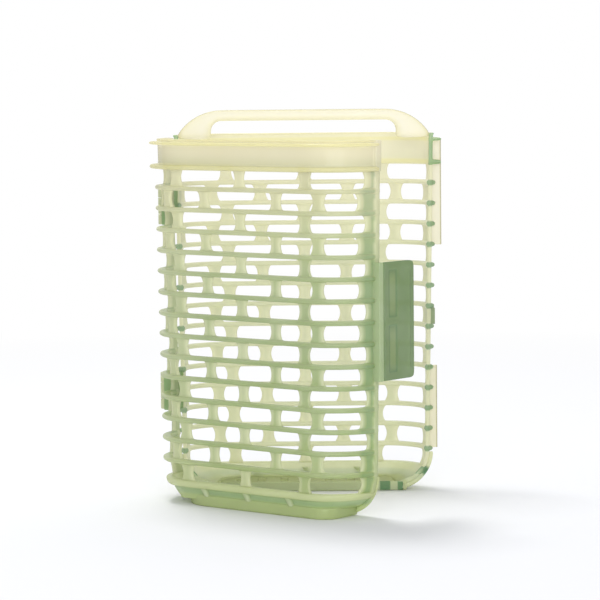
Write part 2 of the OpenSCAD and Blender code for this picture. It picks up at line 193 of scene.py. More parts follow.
# %% Finish a mesh
def finish_mesh(bm, name, half, smooth_levels, sharp_deg=None, bevel=None):
    """Turns the half's mesh into an object that rides on its body."""
    bm.transform(HALVES[half])
    bmesh.ops.recalc_face_normals(bm, faces=bm.faces)
    mesh = bpy.data.meshes.new(name)
    bm.to_mesh(mesh)
    bm.free()
    for polygon in mesh.polygons:
        polygon.use_smooth = True
    if sharp_deg is not None:
        mesh.set_sharp_from_angle(angle=math.radians(sharp_deg))
    obj = bpy.data.objects.new(name, mesh)
    bpy.context.scene.collection.objects.link(obj)
    if bevel:
        rounding = obj.modifiers.new("rounding", "BEVEL")
        rounding.width = bevel * MM
        rounding.segments = 3
        rounding.limit_method = "ANGLE"
        rounding.angle_limit = math.radians(35)
        rounding.harden_normals = True
    if smooth_levels:
        subdivision = obj.modifiers.new("smooth", "SUBSURF")
        subdivision.levels = smooth_levels
        subdivision.render_levels = smooth_levels
    print(name, len(mesh.polygons), "faces before smoothing")
    return obj


# %% [markdown]
# The lattice is the heart of the piece. On the real one the slots are bricks
# in a staggered pattern, with waisted struts between them and a thin fin
# along every row. A boolean cut of each slot would leave hard edges and poor
# topology. Here every fin is a swept ring, and a strut grows out of the quads
# on top of one fin into the quads under the next. The whole lattice is one
# closed mesh, so a subdivision surface rounds every junction as a mould does.

# %% Where the struts and the columns of the lattice are
STRUT_HALF = 2.9
SLOT_HALF = 3.95
SLOT_END_R = 6.0
ROOT_DZ = PITCH / 2 - FIN_HALF
ROOT_HALF = STRUT_HALF + SLOT_END_R - math.sqrt(SLOT_END_R**2 - SLOT_HALF**2)
ODD_STRUTS = [-42.3, 0.0, 42.3]
EVEN_STRUTS = [-50.8, -24.0, 24.0, 50.8]
ODD_END = 75.4
EVEN_END = 71.2
END_GROW = ROOT_HALF - STRUT_HALF
SPARE_COLUMNS = (12.0, 32.9, 44.6, 62.0, 65.5)
EDGE_STEPS = {"back": [3.4, 1.7, 1.25, 0.0], "front": [4.3, 3.85, 3.2, 0.0]}


def fin_height(row):
    return LOW_FIN_Z + (ROWS - row) * PITCH


def half_columns():
    """Distances along the wall, from the middle, at which the lattice has a column."""
    support = 1.2
    found = {0.0, *SPARE_COLUMNS}
    for centre in ODD_STRUTS[1:] + EVEN_STRUTS[2:]:
        found |= {centre, centre - ROOT_HALF, centre + ROOT_HALF}
    for centre in (ODD_STRUTS[1], EVEN_STRUTS[2]):
        found |= {centre - ROOT_HALF - support, centre + ROOT_HALF + support}
    found |= {ODD_STRUTS[-1] - ROOT_HALF - support, EVEN_STRUTS[-1] + ROOT_HALF + support}
    for end in (EVEN_END, ODD_END):
        found.add(end - END_GROW)
    found.add(EVEN_END - END_GROW - support)
    return sorted(v for v in found if v >= 0)


COLUMNS = half_columns()
print(len(COLUMNS), "columns in half of the wall,", ROWS - 1, "fins")


def column_places(half, z):
    """Signed distances along the wall at height z, with the columns beside the parting face."""
    ends = [end_of_wall(z) - step for step in EDGE_STEPS[half]]
    side = COLUMNS[1:] + ends
    return [-s for s in reversed(side)] + [0.0] + side


# %% [markdown]
# The struts are not quite upright: going down, each one draws in toward the
# middle by the same small step, while the middle one stays put. The columns
# between the middle strut and its neighbours take up the difference.


# %% Lean of the struts
LEAN = 0.025
TOP_SLOT_Z = 170.9
LEAN_GROWS = (7.0, 10.9)
LEAN_FADES = (57.0, 9.0)


def leaned(s, z):
    """Each pair above is where a change of the lean begins, and how long it takes."""
    way = abs(s)
    if way < LEAN_FADES[0]:
        share = min(1.0, max(0.0, (way - LEAN_GROWS[0]) / LEAN_GROWS[1]))
    else:
        share = max(0.0, 1.0 - (way - LEAN_FADES[0]) / LEAN_FADES[1])
    return s - math.copysign(LEAN * (TOP_SLOT_Z - z) * share, s)


print("a strut at 42.3 stands at", round(leaned(42.3, fin_height(14)), 2), "on the lowest fin")

# %% [markdown]
# A fin has a round outer edge that stands 2 mm out and a blunt inner edge.
# Near the parting face the two halves differ. On the back half each fin
# stops short and leaves a plain strip of wall, and its end is painted a
# deeper green shade, so it reads as a small green knob. On the front half a
# pale raised strip runs down the whole edge, paled by a share of the painted
# highlight, the fins die into it, and the wall beside it is painted a deeper
# green shade. All of this is made by moving and numbering the same ring
# points.


# %% Rings of a fin
STRIP_OUT = 1.7
STRIP_WIDE = 3.9
FIN_STOP = 1.3


def edge_state(half, step):
    """(base offset of the wall, how far a fin stands out) at a distance from the parting face."""
    if half == "front":
        return (STRIP_OUT, 0.0) if step <= STRIP_WIDE else (0.0, FIN_OUT)
    return (0.0, 0.0) if step <= FIN_STOP else (0.0, FIN_OUT)


def fin_ring(half, s, z):
    base, reach = edge_state(half, end_of_wall(z) - abs(s))
    nose = [(reach, 0.5), (0.68 * reach, FIN_HALF), (0.0, FIN_HALF)]
    if reach == 0:
        nose = [(0.0, 0.4), (0.0, 0.8), (0.0, FIN_HALF)]
    upper = [(base + out, dz) for out, dz in nose]
    upper += [(-WALL, FIN_HALF), (-WALL - FIN_IN, 0.85)]
    section = upper + [(out, -dz) for out, dz in reversed(upper)]
    return [on_wall(leaned(s, z), z + dz, out) for out, dz in section]


# These numbers paint a pale highlight along each fin's shoulders, stronger on top.
FIN_DEPTHS = [0.0, 0.35, 0.2, 0.0, 0.3, 0.3, 0.0, 0.2, 0.15, 0.0]
KNOB_WIDE = 1.8
KNOB_DEPTH = 1.9
STRIP_DEPTH = 0.4
ZONE_WIDE = 12.0
ZONE_DEPTH = -0.4


def fin_depths(half, step):
    """Painted green shade on the back half's knobs; on the front half a strip paled by painted
    highlight beside a zone of painted green shade.
    """
    if half == "back":
        return [KNOB_DEPTH] * len(FIN_DEPTHS) if step <= KNOB_WIDE else FIN_DEPTHS
    if step <= STRIP_WIDE:
        return [STRIP_DEPTH] * len(FIN_DEPTHS)
    if step < ZONE_WIDE:
        return [depth + ZONE_DEPTH for depth in FIN_DEPTHS]
    return FIN_DEPTHS


print("fin ring has", len(FIN_DEPTHS), "points")

# %% [markdown]
# Struts are listed by the columns they span. A middle strut is waisted on
# both sides. The strip beside the parting face is a strut too, waisted on
# its inner side only. Levels between the two fins follow the round slot end:
# the strut is widest where it meets a fin and narrowest half-way up.


# %% Struts between two fins
LEVELS = [-3.7, -2.4, 0.0, 2.4, 3.7]


def slot_waist(dz):
    """How much wider than its waist a strut is, because a slot's end is an arc."""
    return SLOT_END_R - math.sqrt(SLOT_END_R**2 - min(abs(dz), SLOT_HALF) ** 2)


def strut_spans(row, places):
    """(first column, last column, centre or None, side) of every strut in a row."""
    odd = row % 2 == 1
    spans = []
    for centre in ODD_STRUTS if odd else EVEN_STRUTS:
        inside = [i for i, s in enumerate(places) if abs(s - centre) <= ROOT_HALF + 0.01]
        spans.append((inside[0], inside[-1], centre, 0))
    end = EVEN_END if not odd or row == ROWS else ODD_END
    root = end - END_GROW
    for side in (-1, 1):
        inside = [i for i, s in enumerate(places) if side * s >= root - 0.01]
        spans.append((inside[0], inside[-1], None, side))
    return spans, end


def strut_column(s, dz, centre, side, end, fixed):
    if centre is not None:
        return centre + (s - centre) * (STRUT_HALF + slot_waist(dz)) / ROOT_HALF
    root = end - END_GROW
    share = max(0.0, 1 - (abs(s) - root) / (fixed - root))
    return side * (abs(s) + (END_GROW - slot_waist(dz)) * share)


root_width = 2 * (STRUT_HALF + slot_waist(SLOT_HALF))
print("a strut is", round(root_width, 2), "mm wide where it meets a fin")

# %% [markdown]
# At each level a strut is a row of outer points and a row of inner points.
# The points beside a slot are seen edge on, so their number is high and they
# get a painted cream highlight. The numbers on the faces are the looks of the
# real one: the middle strut is the creamiest, and those toward the latch are
# the greenest.


# %% Levels of a strut
# STRUT_DEPTHS and FLANK_DEPTH set how much painted cream highlight a strut's faces and its sides
# at a slot get.
STRUT_DEPTHS = [0.3, 0.55, 0.05]
MIDDLE_HALF = 7
FLANK_DEPTH = 0.9
PLAIN_STRIP = 3.0


def strut_level(bm, half, z, dz, places, span, end):
    """Outer and inner points of a strut at one level."""
    first, last, centre, side = span
    fixed = end_of_wall(z) - EDGE_STEPS[half][0]
    outer, inner = [], []
    for i in range(first, last + 1):
        step = end_of_wall(z) - abs(places[i])
        base = edge_state(half, step)[0] if centre is None else 0.0
        s = leaned(strut_column(places[i], dz, centre, side, end, fixed), z)
        plain = half == "back" and step < PLAIN_STRIP
        at_slot = plain or (i in (first, last) and step > 0.1)
        if at_slot:
            face = FLANK_DEPTH
        elif half == "front" and centre is None:
            face = STRIP_DEPTH if base > 0 else ZONE_DEPTH
        else:
            face = STRUT_DEPTHS[(places[i] > -MIDDLE_HALF) + (places[i] > MIDDLE_HALF)]
        outer.append(add_point(bm, on_wall(s, z, base), face))
        inner.append(add_point(bm, on_wall(s, z, -WALL), 1.0 if at_slot else 0.0))
    return outer, inner


def join_levels(bm, low, high):
    """Quads round a strut between two levels, each a pair of outer and inner points."""
    (lo_out, lo_in), (hi_out, hi_in) = low, high
    for i in range(len(lo_out) - 1):
        bm.faces.new((lo_out[i], lo_out[i + 1], hi_out[i + 1], hi_out[i]))
        bm.faces.new((lo_in[i + 1], lo_in[i], hi_in[i], hi_in[i + 1]))
    bm.faces.new((lo_in[0], lo_out[0], hi_out[0], hi_in[0]))
    bm.faces.new((lo_out[-1], lo_in[-1], hi_in[-1], hi_out[-1]))


def cap_level(bm, level):
    outer, inner = level
    for i in range(len(outer) - 1):
        bm.faces.new((outer[i], outer[i + 1], inner[i + 1], inner[i]))


print(len(LEVELS), "levels in every strut")

# %% [markdown]
# A lattice is put together row by row. All the fins come first. Then each row
# gets its struts, which start from the quads left out on top of one fin and
# end at the quads left out under the next. In the lowest and the highest row
# they run a little way into the base and the band instead, so that no gap
# shows there. The same could be bridged by hand, but code does it in the same
# way for both halves.

# %% Build the lattices
OVERLAP = 0.5
TOP_FACE = 2
UNDER_FACE = 6


def build_fins(bm, half):
    fins = {}
    for row in range(1, ROWS):
        z = fin_height(row)
        rings = []
        for s in column_places(half, z):
            depths = fin_depths(half, end_of_wall(z) - abs(s))
            rings.append([add_point(bm, p, d) for p, d in zip(fin_ring(half, s, z), depths)])
        fins[row] = rings
    return fins


def build_lattice(half):
    bm = new_mesh()
    fins = build_fins(bm, half)
    open_faces = {row: set() for row in fins}
    for row in range(1, ROWS + 1):
        middle = fin_height(row) + PITCH / 2
        places = column_places(half, middle)
        spans, end = strut_spans(row, places)
        for span in spans:
            columns = range(span[0], span[1] + 1)
            levels = []
            if row in fins:
                below = fins[row]
                levels.append(([below[i][2] for i in columns], [below[i][3] for i in columns]))
                open_faces[row] |= {(i, TOP_FACE) for i in range(span[0], span[1])}
            else:
                dz = -ROOT_DZ - OVERLAP
                levels.append(strut_level(bm, half, middle + dz, dz, places, span, end))
            for dz in LEVELS:
                levels.append(strut_level(bm, half, middle + dz, dz, places, span, end))
            if row - 1 in fins:
                above = fins[row - 1]
                levels.append(([above[i][7] for i in columns], [above[i][6] for i in columns]))
                open_faces[row - 1] |= {(i, UNDER_FACE) for i in range(span[0], span[1])}
            else:
                dz = BAND_Z + OVERLAP - middle
                levels.append(strut_level(bm, half, middle + dz, dz, places, span, end))
            for low, high in zip(levels, levels[1:]):
                join_levels(bm, low, high)
            if row not in fins:
                cap_level(bm, levels[0])
            if row - 1 not in fins:
                cap_level(bm, levels[-1])
    for row, rings in fins.items():
        join_rings(bm, rings, open_faces[row])
        close_ends(bm, rings)
    return finish_mesh(bm, half + "_lattice", half, 1)


lattices = {half: build_lattice(half) for half in HALVES}

# %% [markdown]
# The band at the top is plain wall with two flanges and a small bead on the
# rim. It is one section swept along the wall. The section's points are set
# close together at each corner, since a subdivision surface keeps an edge
# crisp only where its control points are close. Edge numbers paint a yellow
# highlight along the flanges and the bead. Inside, opposite each flange,
# four points paint a faint line: in a milky wall the flange behind it shows
# through, and the line stands in for that.

# %% Section of the band
FLANGE_OUT = 4.6
FLANGE_LOW = (175.2, 177.6)
FLANGE_HIGH = (187.75, 189.45)


def flange_points(low, high):
    """Section points of one flange, from its lower root to its upper root."""
    middle = (low + high) / 2
    nose = FLANGE_OUT - 0.35
    return [
        (0.0, low - 0.1, 0.1),
        (0.5, low, 0.3),
        (nose, low, 0.9),
        (FLANGE_OUT, middle, 1.0),
        (nose, high, 0.9),
        (0.5, high, 0.3),
        (0.0, high + 0.25, 0.1),
    ]


def seen_through(high, low):
    """Inner points of a painted line, where a flange outside makes the wall look deeper."""
    levels = [(high + 0.4, 0.1), (high - 0.2, 1.0), (low + 0.2, 1.0), (low - 0.4, 0.1)]
    return [(-WALL, z, depth) for z, depth in levels]


def band_section(rim_z):
    section = [(-WALL, BAND_Z, 0.0), (-0.25, BAND_Z, 0.0)]
    section += flange_points(*FLANGE_LOW)
    section += [(0.0, 180.0, 0.0), (0.0, 185.5, 0.0)]
    section += flange_points(*FLANGE_HIGH)
    section += [
        (0.1, rim_z - 1.0, 0.1),
        (0.5, rim_z - 0.8, 0.4),
        (0.5, rim_z - 0.15, 0.8),
        (0.2, rim_z, 0.9),
        (-WALL + 0.3, rim_z, 0.9),
        (-WALL, rim_z - 0.4, 0.4),
    ]
    section += seen_through(*reversed(FLANGE_HIGH))
    section += [(-WALL, 185.5, 0.0), (-WALL, 180.0, 0.0)]
    return section + seen_through(*reversed(FLANGE_LOW))[:-1]


print("band section has", len(band_section(RIM_Z)), "points")

# %% [markdown]
# The section is swept along the wall. The front half's flanges die into the
# raised strip beside the parting face. The back half's run on to the end and
# are painted a deeper green shade there. That end has open space between its
# flanges, which one large end face would fill, so it is patched together
# from smaller faces.

# %% Build the bands
RIM_DROP = {"back": 0.0, "front": 1.2}
FLAT_STEPS = 4
ARC_STEPS = 12


def even_places(z, edge_steps=(0.6, 0.25, 0.0)):
    """Evenly spaced distances along the wall, close together at the parting face."""
    end = end_of_wall(z)
    side = [FLAT_HALF * i / FLAT_STEPS for i in range(1, FLAT_STEPS + 1)]
    arc = end - edge_steps[0] - FLAT_HALF
    side += [FLAT_HALF + arc * i / ARC_STEPS for i in range(1, ARC_STEPS + 1)]
    side += [end - step for step in edge_steps[1:]]
    return [-s for s in reversed(side)] + [0.0] + side


STRIP_STEPS = (4.6, 4.1, 3.9, 3.4, 0.25, 0.0)
# GREEN_DEPTH paints a deeper green shade at the back half's parting face.
GREEN_DEPTH = 2.0
BAND_END = [
    (0, 1, 2, 8, 9, 29, 30, 31, 32),
    (2, 3, 7, 8),
    (3, 4, 6, 7),
    (4, 5, 6),
    (29, 9, 10, 28),
    (28, 10, 11, 17, 24, 25, 26, 27),
    (11, 12, 16, 17),
    (12, 13, 15, 16),
    (13, 14, 15),
    (24, 17, 18, 23),
    (18, 19, 20, 21, 22, 23),
]


def build_band(half):
    bm = new_mesh()
    section = band_section(RIM_Z - RIM_DROP[half])
    steps = STRIP_STEPS if half == "front" else STRIP_STEPS[-2:]
    rings = []
    for column in range(len(even_places(RIM_Z, steps))):
        ring = []
        for out, z, depth in section:
            s = even_places(z, steps)[column]
            step = end_of_wall(z) - abs(s)
            in_strip = half == "front" and step < STRIP_WIDE + 0.1
            if half == "back" and step < 0.3:
                depth = GREEN_DEPTH
            elif in_strip:
                depth = 0.0
            out = STRIP_OUT if in_strip and out >= 0 else out
            ring.append(add_point(bm, on_wall(s, z, out), depth))
        rings.append(ring)
    join_rings(bm, rings)
    if half == "front":
        close_ends(bm, rings)
    else:
        for ring in (rings[0], rings[-1]):
            for patch in BAND_END:
                bm.faces.new([ring[k] for k in patch])
    return finish_mesh(bm, half + "_rim_band", half, 1)


bands = {half: build_band(half) for half in HALVES}

# %% [markdown]
# Under the lowest slot the wall swells into a round nose, draws in, and ends
# in a floor that stands on a low foot. At the sides it curls under. The nose
# and the tub below it are one sweep whose points know both how far they
# stand out at the panel and how far at the side. One sweep is better than
# two meshes here, since the light runs over the nose without a seam.

# %% Section of the nose and the tub
BASE_TOP = 12.95
SILL_Z = 9.1
FLOOR_TOP = 4.9
FLOOR_LOW = 2.8
RECESS = -1.4


def inner_side(z):
    """How far the inner face stands out from the outer face at the side."""
    middle = FLAT_HALF + corner_radius(CORNER_Z) - CORNER_OUT_R
    drop = min(CORNER_Z - z, CORNER_IN_R)
    return middle + math.sqrt(CORNER_IN_R**2 - drop**2) - FLAT_HALF - side_reach(z)


def base_section():
    """(out at the panel, out at the side, height, edge depth), round the nose and the tub."""
    # The edge numbers on the nose paint a pale highlight along it.
    outer = [
        (0.0, 0.0, BASE_TOP, 0.2),
        (1.3, 1.3, BASE_TOP - 0.1, 0.8),
        (2.0, 2.0, 12.0, 1.0),
        (2.0, 2.0, 10.1, 1.0),
        (1.3, 1.3, 9.25, 0.8),
        (-0.3, 0.2, SILL_Z, 0.3),
        (-1.1, 0.0, 8.85, 0.2),
        (RECESS, 0.0, 8.2, 0.2),
        (RECESS, 0.0, 6.6, 0.2),
        (RECESS, 0.0, 4.8, 0.3),
        (RECESS, 0.0, 3.4, 0.4),
        (RECESS, 0.0, FLOOR_LOW, 0.5),
    ]
    inner = [
        (RECESS - WALL, inner_side(FLOOR_TOP), FLOOR_TOP, 0.3),
        (RECESS - WALL, inner_side(5.6), 5.6, 0.1),
        (RECESS - WALL, inner_side(7.4), 7.4, 0.0),
        (-WALL - FIN_IN, inner_side(9.6) - 0.2, 9.6, 0.2),
        (-WALL - FIN_IN, inner_side(12.4) - 0.2, 12.4, 0.3),
        (-WALL, inner_side(BASE_TOP), BASE_TOP, 0.2),
    ]
    return outer + inner


NOSE_RANGE = (8.4, 13.6)


def build_tub(bm, half):
    """The back half's nose ends in a patch of painted green shade, like its fins."""
    section = base_section()
    count = len(even_places(SILL_Z))
    rings = []
    for i in range(count):
        at_end = half == "back" and i in (0, 1, count - 2, count - 1)
        ring = []
        for out, side, z, depth in section:
            if at_end and NOSE_RANGE[0] < z < NOSE_RANGE[1]:
                depth = GREEN_DEPTH
            ring.append(add_point(bm, on_wall(even_places(z)[i], z, out, side), depth))
        rings.append(ring)
    join_rings(bm, rings)
    close_ends(bm, rings)


print("base section has", len(base_section()), "points")

# %% [markdown]
# The basket stands on a low foot wall. Its plan is smaller than the tub's and
# not quite even: it reaches further toward the latch, with a tighter corner
# there. A sweep along that plan gives a wall with soft edges. Scaling the
# tub's outline would have made both corners alike.

# %% The foot
FOOT_SIDES = [(54.0, 10.0), (48.0, 20.0)]
FOOT_DEPTH = 24.8
FOOT_H = 5.8


def foot_path(inset):
    """Points round the foot's plan, from one parting edge to the other."""
    ways = []
    for reach, radius in FOOT_SIDES:
        way = [(reach - inset, GAP), (reach - inset, GAP + 0.4)]
        for i in range(9):
            turn = math.radians(90 * i / 8)
            x = reach - radius + (radius - inset) * math.cos(turn)
            way.append((x, FOOT_DEPTH - radius + (radius - inset) * math.sin(turn)))
        way.append(((reach - radius) * 0.5, FOOT_DEPTH - inset))
        ways.append(way)
    latch_way, hinge_way = ways
    return latch_way + [(0.0, FOOT_DEPTH - inset)] + [(-x, y) for x, y in reversed(hinge_way)]


def build_foot(bm):
    outer, inner = foot_path(0), foot_path(WALL)
    section = [(0, 0.3), (0, FOOT_H - 0.5), (0.5, FOOT_H), (1.6, FOOT_H), (WALL, FOOT_H - 0.5)]
    section += [(WALL, 0.3), (1.7, 0.0), (0.4, 0.0)]
    rings = []
    for (ox, oy), (ix, iy) in zip(outer, inner):
        ring = []
        for inset, z in section:
            share = inset / WALL
            ring.append(Vector((ox + (ix - ox) * share, oy + (iy - oy) * share, z)))
        rings.append(ring)
    # Its edge numbers paint the foot a little paler outside, with a painted highlight along its
    # top and bottom edges.
    sweep(bm, rings, [0.6, 0.6, 0.8, 0.5, 0.2, 0.2, 0.9, 0.9])


print("foot plan has", len(foot_path(0)), "points")

# %% [markdown]
# Beside the parting face two thin crescents follow the tub's lower corners,
# and a low bar closes the edge under the floor. They stiffen the open edge of
# a thin dish. Each is a short sweep of its own, so that it keeps a sharp step
# to the tub, which a bulge in the tub's own section would lose.

# %% Skirts, bar and the whole base
SKIRT_R = 21.0


def build_skirts(bm, half):
    """Thin crescents round the lower corners, beside the parting face."""
    centre = FLAT_HALF + corner_radius(CORNER_Z) + FIN_OUT - SKIRT_R
    wall_centre = FLAT_HALF + corner_radius(CORNER_Z) - CORNER_OUT_R
    for side in (-1, 1):
        rings = []
        for i in range(13):
            turn = math.radians(88 * i / 12)
            reach = Vector((math.cos(turn), 0, -math.sin(turn)))
            far = Vector((centre, 0, CORNER_Z)) + reach * SKIRT_R
            near = Vector((wall_centre, 0, CORNER_Z)) + reach * (CORNER_OUT_R - 0.4)
            soft = (far - near).normalized() * 0.4
            ring = [near, far - soft, far, far, far - soft, near]
            levels = [GAP, GAP, GAP + 0.4, GAP + 1.1, GAP + 1.5, GAP + 1.5]
            rim = (far.z + near.z) / 2
            # The crescent's rim gets a painted highlight, and on the back half beside the nose a
            # painted green shade.
            depths = [0.1, 0.7, 1.0, 1.0, 0.7, 0.1]
            if half == "back" and NOSE_RANGE[0] < rim < NOSE_RANGE[1]:
                depths = [GREEN_DEPTH] * len(ring)
            rings.append([
                add_point(bm, (side * p.x, y, p.z), depth)
                for p, y, depth in zip(ring, levels, depths)
            ])
        join_rings(bm, rings)
        close_ends(bm, rings)


BAR_T = 1.5
# BAR_GREEN lists where the back half's bar gets a painted green shade; elsewhere its edge number
# paints a pale highlight.
BAR_GREEN = [(39.5, 45.0), (49.0, 53.0)]


def build_bar(bm, half):
    """Low bar beside the parting face, from under the floor up over the floor's edge."""
    front, top = GAP - 0.03, FLOOR_TOP + 0.03
    low = CORNER_Z - SKIRT_R
    section = [(front, low), (front, top), (GAP + BAR_T, top), (GAP + BAR_T, low)]
    places = [WALL - FOOT_SIDES[1][0], -30.0, 0.0, 25.0, FOOT_SIDES[0][0] - WALL]
    for start, end in BAR_GREEN:
        places += [start - 0.3, start + 0.3] + ([end - 0.3, end + 0.3] if end < 50 else [])
    rings = []
    for x in sorted(places):
        green = half == "back" and any(start < x < end for start, end in BAR_GREEN)
        depth = KNOB_DEPTH if green else 1.0
        rings.append([add_point(bm, (x, y, z), depth) for y, z in section])
    join_rings(bm, rings)
    close_ends(bm, rings)


def build_base(half):
    bm = new_mesh()
    build_tub(bm, half)
    build_foot(bm)
    build_skirts(bm, half)
    return finish_mesh(bm, half + "_base_tub", half, 1)


bases = {half: build_base(half) for half in HALVES}

# %% [markdown]
# Flat details such as the floor, the hinge pads and the wings beside the latch
# are blocks and short prisms, and the supports under the nose are blunt
# cones. A mould never leaves them sharp. They are made from few faces here,
# and a small bevel later rounds the edges so that they catch a line of light.


# %% Prisms with soft edges
def add_block(bm, low, high, depth):
    corners = [
        add_point(bm, (x, y, z), depth)
        for x in (low[0], high[0])
        for y in (low[1], high[1])
        for z in (low[2], high[2])
    ]
    quads = [(0, 1, 3, 2), (4, 6, 7, 5), (0, 4, 5, 1), (2, 3, 7, 6), (0, 2, 6, 4), (1, 5, 7, 3)]
    for quad in quads:
        bm.faces.new([corners[i] for i in quad])


def add_cone(bm, top, top_r, low, low_r, depth):
    """Blunt cone between two points, cut level at both ends."""
    rings = []
    for centre, radius in ((top, top_r), (low, low_r)):
        ring = []
        for i in range(16):
            turn = 2 * math.pi * i / 16
            flat = Vector((radius * math.cos(turn), radius * math.sin(turn), 0))
            ring.append(add_point(bm, Vector(centre) + flat, depth))
        rings.append(ring)
    join_rings(bm, rings)
    close_ends(bm, rings)


print("block and cone helpers ready")

# %% [markdown]
# The floor is a plate with seven drain slots that let water run off. It is
# made as a grid of cells in which the slots' cells are left out. That keeps
# every face a clean quad, where a boolean cut would leave long thin faces
# that bevel badly.

# %% Build the floors
DRAIN_Y = (6.0, 17.0)
DRAIN_STEP = 12.0
DRAIN_HALF = 2.0
FLOOR_HALF = 46.5


def build_floor(half):
    """Floor plate as a grid of cells, with the drain slots left out."""
    bm = new_mesh()
    cuts = [-FLOOR_HALF]
    for i in range(-3, 4):
        cuts += [i * DRAIN_STEP - DRAIN_HALF, i * DRAIN_STEP + DRAIN_HALF]
    cuts.append(FLOOR_HALF)
    back = STRAIGHT + corner_radius(FLOOR_TOP) + RECESS - WALL / 2
    levels = [GAP, DRAIN_Y[0], DRAIN_Y[1], back]
    top, low = {}, {}
    for i, x in enumerate(cuts):
        for j, y in enumerate(levels):
            y_here = min(y, back - 0.9) if abs(x) == FLOOR_HALF and j == 3 else y
            top[i, j] = add_point(bm, (x, y_here, FLOOR_TOP), 0.2)
            low[i, j] = add_point(bm, (x, y_here, FLOOR_LOW), 0.2)
    solid = {
        (i, j)
        for i in range(len(cuts) - 1)
        for j in range(3)
        if not (j == 1 and i % 2 == 1)
    }
    for i, j in solid:
        a, b, c, d = (i, j), (i + 1, j), (i + 1, j + 1), (i, j + 1)
        bm.faces.new([top[p] for p in (a, b, c, d)])
        bm.faces.new([low[p] for p in (d, c, b, a)])
        sides = [(a, b, (i, j - 1)), (b, c, (i + 1, j)), (c, d, (i, j + 1)), (d, a, (i - 1, j))]
        for p, q, neighbour in sides:
            if neighbour not in solid:
                bm.faces.new((top[p], low[p], low[q], top[q]))
    return finish_mesh(bm, half + "_floor_plate", half, 0, 30, 0.35)


floors = {half: build_floor(half) for half in HALVES}

# %% [markdown]
# The small fittings come next. Two pads at the left carry the hinge, a block
# at the right of the front half holds the latch's root, and three blunt
# cones stand between the nose and the foot. All are simple solids that a
# bevel softens. They share one mesh in each half, since they are one
# moulding on the real piece.

# %% Hinge pads, latch root, cones and bar
PAD_X = 71.2
PAD_H = 19.6
STATIONS = [fin_height(2), fin_height(11)]
LATCH_Z = (69.4, 129.4)
CONES_X = [-28.0, 0.0, 28.0]


def side_x(z):
    return FLAT_HALF + corner_radius(z) - WALL / 2


def build_fittings(half):
    bm = new_mesh()
    for middle in STATIONS:
        low_z = middle - PAD_H / 2
        add_block(bm, (-PAD_X, GAP, low_z), (-side_x(low_z), 6.1, low_z + PAD_H), 0.0)
    if half == "front":
        root_x = side_x(sum(LATCH_Z) / 2)
        add_block(bm, (root_x, 0.9, LATCH_Z[0]), (71.9, 4.3, LATCH_Z[1]), 0.5)
    for x in CONES_X:
        add_cone(bm, (x - 0.8, 23.6, 9.8), 2.2, (x + 1.8, 23.8, 5.2), 1.6, 1.0)
    build_bar(bm, half)
    return finish_mesh(bm, half + "_fittings", half, 0, 30, 0.4)


fittings = {half: build_fittings(half) for half in HALVES}

# %% [markdown]
# Above and below the latch the back half has two thin upright wings that
# guard the catch. Seen from the front each is a pale strip with a fine darker
# line along its outer edge, painted shade where the plate is seen edge on.
# The line is made by edge numbers on closely set points, because a separate
# sliver of mesh would flicker against the wing.

# %% Build the wings
WING_Y = (6.0, 7.4)
WINGS = [(132.0, 188.6, 73.5), (22.4, 67.0, 70.8)]


def build_wings():
    bm = new_mesh()
    for low_z, high_z, reach in WINGS:
        across = [(side_x(high_z), 0.15), (reach - 0.9, 0.15), (reach - 0.5, 1.9), (reach, 1.9)]
        section = [(x, WING_Y[0], depth) for x, depth in across]
        section += [(x, WING_Y[1], depth) for x, depth in reversed(across)]
        rings = []
        for z in (low_z, high_z):
            rings.append([add_point(bm, (x, y, z), depth) for x, y, depth in section])
        join_rings(bm, rings)
        close_ends(bm, rings)
    return finish_mesh(bm, "latch_wings", "back", 0, 30, 0.25)


wings = build_wings()

# %% [markdown]
# The handle is an arched plate that stands in the parting plane of the back
# half. Its window has a lip that turns outward, which is kind to the fingers
# and makes the thin plate stiff. The plate is swept along the arch from one
# leg to the other, between the outer outline and the window's outline, and
# the lip is part of the same section.

# %% Outlines of the handle
HANDLE_TOP = 205.0
SHOULDER_R = 28.0
SHOULDER_X = 43.5
HANDLE_ROOT = 189.4
WINDOW_HALF = 49.3
WINDOW_TOP = 199.2
WINDOW_R = 5.5
LEG_HALF = TOP_HALF_WIDTH - WALL - 0.1


def arch_stations():
    """Pairs of outer and window points, from the middle of the arch to a leg."""
    shoulder = Vector((SHOULDER_X, HANDLE_TOP - SHOULDER_R))
    corner = Vector((WINDOW_HALF - WINDOW_R, WINDOW_TOP - WINDOW_R))
    pairs = [(Vector((x, HANDLE_TOP)), Vector((x, WINDOW_TOP))) for x in (0, 14, 28, 38)]
    last_turn = math.acos((LEG_HALF - SHOULDER_X) / SHOULDER_R)
    for i in range(9):
        share = i / 8
        turn = math.pi / 2 + (last_turn - math.pi / 2) * share
        outer = shoulder + SHOULDER_R * Vector((math.cos(turn), math.sin(turn)))
        bend = math.pi / 2 * (1 - share)
        inner = corner + WINDOW_R * Vector((math.cos(bend), math.sin(bend)))
        pairs.append((outer, inner))
    for z in (191.2, HANDLE_ROOT):
        pairs.append((Vector((LEG_HALF, z)), Vector((WINDOW_HALF, z))))
    return pairs


print(2 * len(arch_stations()) - 1, "stations along the arch")

# %% [markdown]
# Each pair of points is turned into a ring: a flat face toward the parting
# plane, a soft outer edge, and the lip round the window. Rings made this way
# keep the same number of points all along the arch, even where it narrows
# into the legs, so the sweep closes without a patch.

# %% Build the handle
HANDLE_T = 2.2
LIP_W = 2.4
LIP_OUT = 3.2
# ARCH_DEPTHS paint a yellow highlight round the window's lip and a grey shade along the outer
# outline, where the plate is seen edge on.
ARCH_DEPTHS = [2.0, 0.3, 0.0, 0.5, 1.0, 1.0, 1.0, 0.9, 0.8, 0.3, 0.0, 0.3, 2.0]


